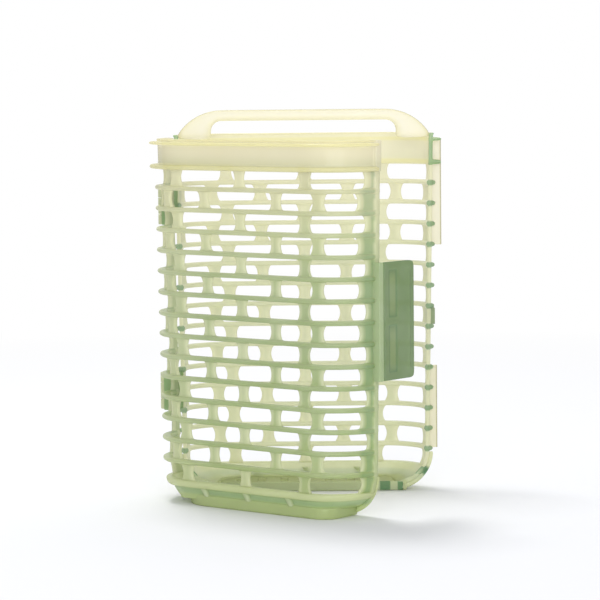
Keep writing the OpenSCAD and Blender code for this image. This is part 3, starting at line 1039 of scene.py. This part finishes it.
def arch_ring(outer, inner):
    """Section of the handle between its outer edge and the window, with the lip."""
    across = outer - inner
    width = across.length
    across.normalize()
    lip = min(LIP_W, width * 0.4)
    face = [(width, 0.5), (width - 0.5, 0.0), (lip + 0.6, 0.0), (0.5, 0.0), (0.0, 0.5)]
    rear = HANDLE_T + LIP_OUT
    rear_points = [(0.0, rear - 0.5), (0.4, rear), (lip - 0.4, rear), (lip, rear - 0.5)]
    rear_points += [(lip + 0.1, HANDLE_T + 0.4), (lip + 0.6, HANDLE_T)]
    rear_points += [(width - 0.5, HANDLE_T), (width, HANDLE_T - 0.5)]
    ring = []
    for way, y in face + rear_points:
        flat = inner + across * way
        ring.append(Vector((flat.x, GAP + y, flat.y)))
    return ring


def build_handle():
    bm = new_mesh()
    half_rings = [arch_ring(*pair) for pair in arch_stations()]
    mirrored = [[Vector((-p.x, p.y, p.z)) for p in ring] for ring in reversed(half_rings[1:])]
    sweep(bm, mirrored + half_rings, ARCH_DEPTHS)
    return finish_mesh(bm, "arched_handle", "back", 2)


handle = build_handle()

# %% [markdown]
# The latch tongue is a thin leaf on the front half that springs over a small
# block on the back half. Seen from outside it has two shallow pockets, a
# smooth place between and below them, and a ridge for the thumb near its
# free edge. The leaf is drawn as a grid so that the pockets can be pushed in
# and the free edge can bend a little, which a flat prism could not do.

# %% Rows and columns of the latch tongue
TONGUE_LOW, TONGUE_HIGH = LATCH_Z
TONGUE_ROOT = -0.2
TONGUE_FREE = -24.2
RIDGE_Y = TONGUE_FREE + 4.0
POCKETS_Y = (-10.5, -3.8)
POCKET_HEIGHTS = [(73.4, 97.4), (101.4, 125.4)]
POCKET_SUPPORT = 0.3
POCKET_LINE = 0.9


def pocket_edges(low, high):
    """Places just outside, just inside and a little further inside both ends of a pocket."""
    steps = (-POCKET_SUPPORT, POCKET_SUPPORT, POCKET_LINE)
    return [low + step for step in steps] + [high - step for step in reversed(steps)]


TONGUE_ROWS = [TONGUE_LOW, TONGUE_LOW + 0.4, TONGUE_LOW + 2.0]
for pocket in POCKET_HEIGHTS:
    TONGUE_ROWS += pocket_edges(*pocket)
TONGUE_ROWS += [TONGUE_HIGH - 2.0, TONGUE_HIGH - 0.4, TONGUE_HIGH]
TONGUE_COLUMNS = [TONGUE_FREE, TONGUE_FREE + 0.4, TONGUE_FREE + 1.8]
TONGUE_COLUMNS += [RIDGE_Y - 0.9, RIDGE_Y, RIDGE_Y + 0.9, -13.5]
TONGUE_COLUMNS += pocket_edges(*POCKETS_Y) + [-1.8, -0.9, TONGUE_ROOT + 0.5]
print("tongue grid", len(TONGUE_ROWS), "by", len(TONGUE_COLUMNS))

# %% [markdown]
# Each grid point is then pushed to its place: the outline's corners are
# rounded, the pockets sink in, the ridge rises, and the free edge curls out.
# Because the tongue is thin, its border and the rims of its pockets look
# deeper in colour than the rest, and their edge numbers paint that as shade;
# the thin pocket floors are left paler.


# %% Points of the latch tongue
def tongue_depth(y, z, outside):
    """Painted shade on the border and round a pocket; thin and paler inside it."""
    if z in (TONGUE_LOW, TONGUE_HIGH) or y == TONGUE_FREE:
        return 1.0
    inside = [
        min(y - POCKETS_Y[0], POCKETS_Y[1] - y, z - low, high - z) for low, high in POCKET_HEIGHTS
    ]
    if max(inside) < 0:
        return 0.4
    return 1.0 if outside and max(inside) < POCKET_LINE - 0.1 else 0.0


TONGUE_X = 70.3
TONGUE_T = 1.6
TONGUE_MIDDLE = (TONGUE_LOW + TONGUE_HIGH) / 2
TONGUE_CORNER_R = 3.0
POCKET_IN = 0.5
RIDGE_HALF = 26.0
RIDGE_OUT = 0.9
CURL_LEN = 8.0
CURL_OUT = 0.5


def rounded_corner(y, z):
    dy = max(0.0, TONGUE_FREE + TONGUE_CORNER_R - y)
    dz = max(0.0, TONGUE_LOW + TONGUE_CORNER_R - z, z - TONGUE_HIGH + TONGUE_CORNER_R)
    way = math.hypot(dy, dz)
    if dy > 0 and dz > 0 and way > TONGUE_CORNER_R:
        y += dy - dy * TONGUE_CORNER_R / way
        z += math.copysign(dz - dz * TONGUE_CORNER_R / way, TONGUE_MIDDLE - z)
    return y, z


def tongue_point(y, z, outside):
    y, z = rounded_corner(y, z)
    out = TONGUE_T if outside else 0.0
    in_pocket = POCKETS_Y[0] < y < POCKETS_Y[1] and any(a < z < b for a, b in POCKET_HEIGHTS)
    if outside and in_pocket:
        out -= POCKET_IN
    if outside and abs(y - RIDGE_Y) < 0.2 and abs(z - TONGUE_MIDDLE) < RIDGE_HALF:
        out += RIDGE_OUT
    curl = CURL_OUT * max(0.0, (TONGUE_FREE + CURL_LEN - y) / CURL_LEN) ** 2
    return Vector((TONGUE_X + out + curl, y, z))


free_corner = tongue_point(TONGUE_FREE, TONGUE_LOW, True)
print("the tongue's free corner is at", [round(v, 2) for v in free_corner])

# %% [markdown]
# Two sheets, an inner and an outer one, are filled with quads and joined
# round the border. That makes a closed leaf with clean rows and columns, and
# a subdivision surface then turns every step into a soft pressed form.


# %% Build the latch tongue
def build_tongue():
    bm = new_mesh()
    columns, rows = TONGUE_COLUMNS, TONGUE_ROWS
    sheets = []
    for outside in (False, True):
        sheets.append([
            [add_point(bm, tongue_point(y, z, outside), tongue_depth(y, z, outside)) for z in rows]
            for y in columns
        ])
    inner, outer = sheets
    for i in range(len(columns) - 1):
        for j in range(len(rows) - 1):
            for sheet in sheets:
                bm.faces.new((sheet[i][j], sheet[i + 1][j], sheet[i + 1][j + 1], sheet[i][j + 1]))
    border = [(0, j) for j in range(len(rows) - 1)]
    border += [(i, len(rows) - 1) for i in range(len(columns) - 1)]
    border += [(len(columns) - 1, j) for j in range(len(rows) - 1, 0, -1)]
    border += [(i, 0) for i in range(len(columns) - 1, 0, -1)]
    for (a, b), (c, d) in zip(border, border[1:] + border[:1]):
        bm.faces.new((inner[a][b], inner[c][d], outer[c][d], outer[a][b]))
    return finish_mesh(bm, "latch_leaf", "front", 2)


tongue = build_tongue()

# %% [markdown]
# Every new mesh is tied to the moving body it belongs to, and it stands for
# the CAD pieces whose place it takes.
# The pins, the knuckles and the catch are already the right shape and stay.

# %% Tie the pieces to the frame
for half, body in BODY.items():
    for piece in (lattices[half], bands[half], bases[half], floors[half], fittings[half]):
        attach(piece, body)
    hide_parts(half + "_grille", half + "_left_side", half + "_right_side")
    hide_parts(half + "_band")
    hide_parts(half + "_base", half + "_skirt")
    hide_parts(half + "_floor")
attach(wings, "back_half")
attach(handle, "back_half")
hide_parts("carry_handle")
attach(tongue, "latch")
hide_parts("latch_tongue")
print("tied", 5 * len(HALVES) + 3, "meshes to their bodies")

# %% [markdown]
# The CAD pieces that stay in view get two modifiers: a weld that joins the
# doubled points of the imported mesh, and a narrow bevel. Their meshes stay
# as they are, so the hinge still turns exactly where the model says.

# %% Soften the kept pieces
KEPT = ["back_hinge_knuckles", "front_hinge_knuckles"]
KEPT += ["upper_hinge_pin", "lower_hinge_pin", "latch_catch"]
for name in KEPT:
    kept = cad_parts[name]
    weld = kept.modifiers.new("weld", "WELD")
    weld.merge_threshold = 0.00001
    rounding = kept.modifiers.new("rounding", "BEVEL")
    rounding.width = 0.25 * MM
    rounding.segments = 2
    rounding.limit_method = "ANGLE"
    rounding.angle_limit = math.radians(40)
print("kept from the CAD model:", ", ".join(KEPT))

# %% [markdown]
# The colour given to the plastic depends on the place. It runs from green at
# the foot to cream at the rim, it is creamier toward the hinge and on the
# half behind, and painted highlights and shades are mixed in where a piece is
# seen edge on. A painted image could hold all that, but small shader nodes
# that read the object's own coordinates stay sharp at every distance. The
# helpers below build those nodes.


# %% Shader helpers
def linear(colour):
    """sRGB numbers from 0 to 255 as linear values."""
    found = []
    for v in colour:
        v = v / 255
        found.append(v / 12.92 if v <= 0.04045 else ((v + 0.055) / 1.055) ** 2.4)
    return (*found, 1.0)


def spread(nodes, links, value, start, end, low, high):
    """Carries the span from start to end onto the span from low to high."""
    span = nodes.new("ShaderNodeMapRange")
    span.inputs["From Min"].default_value = start
    span.inputs["From Max"].default_value = end
    span.inputs["To Min"].default_value = low
    span.inputs["To Max"].default_value = high
    links.new(value, span.inputs["Value"])
    return span.outputs["Result"]


def combine(nodes, links, operation, first, second=None):
    node = nodes.new("ShaderNodeMath")
    node.operation = operation
    links.new(first, node.inputs[0])
    if isinstance(second, float):
        node.inputs[1].default_value = second
    elif second is not None:
        links.new(second, node.inputs[1])
    return node.outputs[0]


def tint(nodes, links, base, share, colour):
    """Mixes a share of a fixed colour into the base."""
    mix = nodes.new("ShaderNodeMix")
    mix.data_type = "RGBA"
    links.new(share, mix.inputs["Factor"])
    links.new(base, mix.inputs["A"])
    mix.inputs["B"].default_value = linear(colour)
    return mix.outputs["Result"]


def noise(nodes, links, place, scale, detail):
    pattern = nodes.new("ShaderNodeTexNoise")
    pattern.inputs["Scale"].default_value = scale
    pattern.inputs["Detail"].default_value = detail
    links.new(place, pattern.inputs["Vector"])
    return pattern.outputs["Fac"]


print("mid grey is", round(linear((128, 128, 128))[0], 3), "in linear light")

# %% [markdown]
# Three rules give the colour. A ramp follows the height. A cream share grows
# toward the hinge and is strongest on the back half. The edge numbers of the
# mesh mix in painted edge light, a highlight on most pieces and a shade on
# the latch, and beyond 0 and 1 the third colour, a painted shade. Keeping
# the rules apart makes each of them easy to tune against the photo.

# %% Colour of the plastic
HEIGHT = 0.205
CREAM = (249, 246, 222)
CLOUD = (255, 255, 245)
CREAM_BY_HINGE = (-0.05, -0.085)
CREAM_BY_BACK = (-0.0262, -0.0238)


def colour_by_height(nodes, links, z, stops):
    ramp = nodes.new("ShaderNodeValToRGB")
    links.new(spread(nodes, links, z, 0.0, HEIGHT, 0.0, 1.0), ramp.inputs["Fac"])
    ramp.color_ramp.interpolation = "EASE"
    first, last = ramp.color_ramp.elements[0], ramp.color_ramp.elements[-1]
    first.position, first.color = stops[0][0], linear(stops[0][1])
    last.position, last.color = stops[-1][0], linear(stops[-1][1])
    for at, colour in stops[1:-1]:
        ramp.color_ramp.elements.new(at).color = linear(colour)
    return ramp.outputs["Color"]


def plastic_colour(nodes, links, place, clouds, stops, edge, line, share, creams):
    parts = nodes.new("ShaderNodeSeparateXYZ")
    links.new(place, parts.inputs[0])
    hinge = spread(nodes, links, parts.outputs["X"], *CREAM_BY_HINGE, 0.0, creams[0])
    back = spread(nodes, links, parts.outputs["Y"], *CREAM_BY_BACK, 0.0, creams[1])
    depth = nodes.new("ShaderNodeAttribute")
    depth.attribute_name = "edge_light_and_shade"
    from_half = combine(nodes, links, "SUBTRACT", depth.outputs["Fac"], 0.5)
    beyond = combine(nodes, links, "ABSOLUTE", from_half)
    # The last two tints are painted light: the edge colour at high edge numbers, and beyond 0 and
    # 1 the third colour, a painted shade.
    tints = [
        (spread(nodes, links, clouds, 0.35, 0.75, 0.0, 0.12), CLOUD),
        (combine(nodes, links, "MAXIMUM", hinge, back), CREAM),
        (spread(nodes, links, depth.outputs["Fac"], 0.0, 1.0, 0.0, share), edge),
        (spread(nodes, links, beyond, 0.5, 1.5, 0.0, 0.9), line),
    ]
    colour = colour_by_height(nodes, links, parts.outputs["Z"], stops)
    for amount, mixed_in in tints:
        colour = tint(nodes, links, colour, amount, mixed_in)
    return colour


print("cream starts", 1000 * CREAM_BY_HINGE[0], "mm from the middle, toward the hinge")

# %% [markdown]
# The plastic is milky: light goes into it, scatters, and comes out on the
# other side. A glass shader would be too clear and a plain diffuse one too
# dead. The recipe mixes a glossy surface with a translucent one, and lets a
# little of what is behind show through. A fine bump and a slightly uneven
# roughness keep the gloss from looking like glass.


# %% Milky plastic
def milky_plastic(name, stops, edge, line, share, clear, creams=(0.0, 0.0)):
    material = bpy.data.materials.new(name)
    material.use_nodes = True
    nodes, links = material.node_tree.nodes, material.node_tree.links
    nodes.clear()
    place = nodes.new("ShaderNodeTexCoord").outputs["Object"]
    clouds = noise(nodes, links, place, 38.0, 3.0)
    colour = plastic_colour(nodes, links, place, clouds, stops, edge, line, share, creams)
    bump = nodes.new("ShaderNodeBump")
    bump.inputs["Strength"].default_value = 0.06
    bump.inputs["Distance"].default_value = 0.0004
    links.new(noise(nodes, links, place, 900.0, 2.0), bump.inputs["Height"])
    roughness = spread(nodes, links, clouds, 0.0, 1.0, 0.14, 0.28)

    surface = nodes.new("ShaderNodeBsdfPrincipled")
    surface.inputs["IOR"].default_value = 1.49
    links.new(colour, surface.inputs["Base Color"])
    links.new(roughness, surface.inputs["Roughness"])
    links.new(bump.outputs["Normal"], surface.inputs["Normal"])
    glow = nodes.new("ShaderNodeBsdfTranslucent")
    links.new(colour, glow.inputs["Color"])
    clear_view = nodes.new("ShaderNodeBsdfTransparent")
    milky = nodes.new("ShaderNodeMixShader")
    milky.inputs[0].default_value = 0.45
    links.new(surface.outputs[0], milky.inputs[1])
    links.new(glow.outputs[0], milky.inputs[2])
    whole = nodes.new("ShaderNodeMixShader")
    whole.inputs[0].default_value = clear
    links.new(milky.outputs[0], whole.inputs[1])
    links.new(clear_view.outputs[0], whole.inputs[2])
    out = nodes.new("ShaderNodeOutputMaterial")
    links.new(whole.outputs[0], out.inputs["Surface"])
    print(name, "has", len(nodes), "nodes")
    return material


# %% [markdown]
# All pieces share the recipe and differ in their colours. The lists give the
# ramp from the foot, at 0, to the top of the handle, at 1. Six variants are
# enough for the whole basket, and one more for the pins inside the hinge.

# %% Plastics and their colours
# The stops round the middle are a little darker and greener, partly the plastic's green and partly
# painted shade of the dark herbs that fill the basket.
BODY_STOPS = [
    (0.0, (192, 204, 148)),
    (0.2, (180, 196, 142)),
    (0.45, (174, 190, 140)),
    (0.6, (182, 195, 148)),
    (0.7, (202, 208, 166)),
    (0.8, (214, 214, 178)),
    (0.87, (222, 220, 194)),
    (0.9, (232, 227, 204)),
    (1.0, (236, 231, 210)),
]
HANDLE_STOPS = [(0.0, (240, 236, 212)), (1.0, (244, 240, 224))]
LATCH_STOPS = [(0.0, (148, 168, 116)), (1.0, (152, 172, 122))]
PIN_STOPS = [(0.0, (215, 222, 190)), (1.0, (225, 228, 200))]
# The darker green from 0.034 to 0.041 of the height is painted shade in the recess under the nose.
BASE_STOPS = [
    (0.0, (196, 212, 148)),
    (0.024, (196, 212, 148)),
    (0.034, (166, 192, 148)),
    (0.041, (172, 196, 152)),
    (0.048, (208, 215, 168)),
    (1.0, (208, 215, 168)),
]
PAD_STOPS = [(0.0, (164, 194, 138)), (1.0, (164, 194, 142))]
# Painted edge light: the pale and yellow colours are painted highlights where a piece is seen edge
# on, the grey line and the darker greens are painted shade.
CREAM_EDGE_HIGHLIGHT = (248, 246, 218)
YELLOW_EDGE_HIGHLIGHT = (240, 234, 158)
BASE_EDGE_HIGHLIGHT = (232, 236, 190)
HANDLE_EDGE_HIGHLIGHT = (238, 230, 150)
HANDLE_EDGE_SHADE = (176, 172, 140)
LATCH_EDGE_SHADE = (104, 140, 100)
PIN_EDGE = (190, 205, 150)
PARTING_GREEN_SHADE = (92, 152, 104)
PALE_PARTING_GREEN_SHADE = (120, 176, 124)
# name, ramp, painted edge light, third colour of painted shade, edge share, clear share, cream
# shares
RECIPES = {
    "lattice": ("milky_green_lattice", BODY_STOPS, CREAM_EDGE_HIGHLIGHT, PARTING_GREEN_SHADE, 0.75, 0.18, (0.45, 0.65)),
    "pad": ("milky_green_pad", PAD_STOPS, CREAM_EDGE_HIGHLIGHT, PARTING_GREEN_SHADE, 0.6, 0.2),
    "rim": ("milky_cream_rim", BODY_STOPS, YELLOW_EDGE_HIGHLIGHT, PALE_PARTING_GREEN_SHADE, 0.5, 0.26, (0.0, 0.6)),
    "base": ("milky_green_base", BASE_STOPS, BASE_EDGE_HIGHLIGHT, PARTING_GREEN_SHADE, 0.5, 0.2, (0.2, 0.5)),
    "handle": ("milky_cream_handle", HANDLE_STOPS, HANDLE_EDGE_HIGHLIGHT, HANDLE_EDGE_SHADE, 0.4, 0.3),
    "latch": ("milky_green_latch", LATCH_STOPS, LATCH_EDGE_SHADE, LATCH_EDGE_SHADE, 0.8, 0.18),
    "pin": ("milky_pale_pin", PIN_STOPS, PIN_EDGE, PIN_EDGE, 0.4, 0.05),
}
plastics = {piece: milky_plastic(*recipe) for piece, recipe in RECIPES.items()}

# %% [markdown]
# Each piece gets one plastic. The hinge pads and the cones are greener than
# the lattice round them, and the wings match the handle. The kept CAD pieces
# are painted too: the pins pale, the catch like the latch it holds.


# %% Paint the pieces
def paint(obj, plastic):
    obj.data.materials.clear()
    obj.data.materials.append(plastics[plastic])


for half in HALVES:
    paint(lattices[half], "lattice")
    paint(fittings[half], "pad")
    paint(bands[half], "rim")
    paint(bases[half], "base")
    paint(floors[half], "base")
paint(handle, "handle")
paint(wings, "handle")
paint(tongue, "latch")
for name in KEPT:
    plastic = "pin" if name.endswith("_pin") else "latch" if name == "latch_catch" else "base"
    paint(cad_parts[name], plastic)
print(len(plastics), "plastics painted")

# %% [markdown]
# The photo's ground is pure white with a faint cool shadow. A white sheet lit
# until it clips would also wash out the pale plastic, so the floor shows the
# camera a share of white of its own. The share grows with the distance from
# the basket: near it the shadow is kept, far away the sheet has no horizon.

# %% Floor
FLOOR_SIZE = 6.0
bm = bmesh.new()
bmesh.ops.create_grid(bm, x_segments=8, y_segments=8, size=FLOOR_SIZE)
table_mesh = bpy.data.meshes.new("table_top")
bm.to_mesh(table_mesh)
bm.free()
table_top = bpy.data.objects.new("table_top", table_mesh)
bpy.context.scene.collection.objects.link(table_top)
table_top.location.z = -0.0002

sheet = bpy.data.materials.new("white_table")
sheet.use_nodes = True
nodes, links = sheet.node_tree.nodes, sheet.node_tree.links
nodes.clear()
lit = nodes.new("ShaderNodeBsdfDiffuse")
lit.inputs["Color"].default_value = (0.82, 0.82, 0.84, 1)
own = nodes.new("ShaderNodeEmission")
place = nodes.new("ShaderNodeTexCoord")
distance = nodes.new("ShaderNodeVectorMath")
distance.operation = "LENGTH"
links.new(place.outputs["Object"], distance.inputs[0])
own_white = spread(nodes, links, distance.outputs["Value"], 0.2, 0.9, 0.0, 1.0)
rays = nodes.new("ShaderNodeLightPath")
white_share = combine(nodes, links, "MULTIPLY", own_white, rays.outputs["Is Camera Ray"])
mixed = nodes.new("ShaderNodeMixShader")
out = nodes.new("ShaderNodeOutputMaterial")
links.new(white_share, mixed.inputs[0])
links.new(lit.outputs[0], mixed.inputs[1])
links.new(own.outputs[0], mixed.inputs[2])
links.new(mixed.outputs[0], out.inputs["Surface"])
table_mesh.materials.append(sheet)
print("floor is", 2 * FLOOR_SIZE, "m wide")

# %% [markdown]
# The world is white to the camera, to gloss and to rays that pass through
# the plastic, and a gentle sky light to everything else. With one strength
# for all, the background would either turn grey or flatten every shadow.

# %% World
world = bpy.data.worlds.new("studio")
bpy.context.scene.world = world
world.use_nodes = True
nodes, links = world.node_tree.nodes, world.node_tree.links
nodes.clear()
sky = nodes.new("ShaderNodeBackground")
sky.inputs["Color"].default_value = (0.95, 0.97, 1.0, 1)
sky.inputs["Strength"].default_value = 0.6
white = nodes.new("ShaderNodeBackground")
white.inputs["Color"].default_value = (1, 1, 1, 1)
rays = nodes.new("ShaderNodeLightPath").outputs
seen = combine(nodes, links, "MAXIMUM", rays["Is Camera Ray"], rays["Is Glossy Ray"])
seen = combine(nodes, links, "MAXIMUM", seen, rays["Is Transmission Ray"])
chosen = nodes.new("ShaderNodeMixShader")
out = nodes.new("ShaderNodeOutputWorld")
links.new(seen, chosen.inputs[0])
links.new(sky.outputs[0], chosen.inputs[1])
links.new(white.outputs[0], chosen.inputs[2])
links.new(chosen.outputs[0], out.inputs["Surface"])
print("sky light strength", round(sky.inputs["Strength"].default_value, 2))

# %% [markdown]
# A lamp high above, a little to the left and behind, draws the soft shadow
# at the basket's foot. A wide weak one further behind lets the milky walls
# glow, and a wide one in front fills the fins' undersides. Area lamps are
# used because a small lamp would draw hard shadows of every fin.


# %% Lamps
def add_lamp(name, place, size, power):
    lamp = bpy.data.lights.new(name, "AREA")
    lamp.shape = "SQUARE"
    lamp.size = size
    lamp.energy = power
    obj = bpy.data.objects.new(name, lamp)
    bpy.context.scene.collection.objects.link(obj)
    obj.location = place
    aim = Vector((0, -0.03, 0.1)) - Vector(place)
    obj.rotation_euler = aim.to_track_quat("-Z", "Y").to_euler()
    print(name, power, "W, from", round(aim.length, 2), "m away")


add_lamp("window_above", (-0.25, 0.3, 1.35), 0.4, 9.0)
add_lamp("glow_behind", (0.1, 0.8, 1.1), 0.9, 3.0)
add_lamp("soft_front", (0.0, -1.5, 0.5), 1.0, 11.0)

# %% [markdown]
# The camera was found by fitting the fins' tips, the band and the foot to
# their places in the photo: a long lens from about one and a half metres,
# a little above the handle, looking slightly down and rolled by half a degree.

# %% Camera
FOCAL_PX = 2760.4
FRAME_PX = 600.0
PITCH_DOWN = math.radians(4.762)
ROLL = math.radians(-0.546)
camera_data = bpy.data.cameras.new("camera")
camera_data.sensor_width = 36.0
camera_data.lens = FOCAL_PX / FRAME_PX * camera_data.sensor_width
camera_data.clip_end = 50.0
camera = bpy.data.objects.new("camera", camera_data)
bpy.context.scene.collection.objects.link(camera)
camera.location = (-0.00263, -1.4959, 0.22589)
turn = Matrix.Rotation(math.pi / 2 - PITCH_DOWN, 3, "X") @ Matrix.Rotation(ROLL, 3, "Z")
camera.rotation_euler = turn.to_euler()
bpy.context.scene.camera = camera
bpy.context.scene.view_settings.view_transform = "Standard"
print("lens", round(camera_data.lens, 1), "mm")
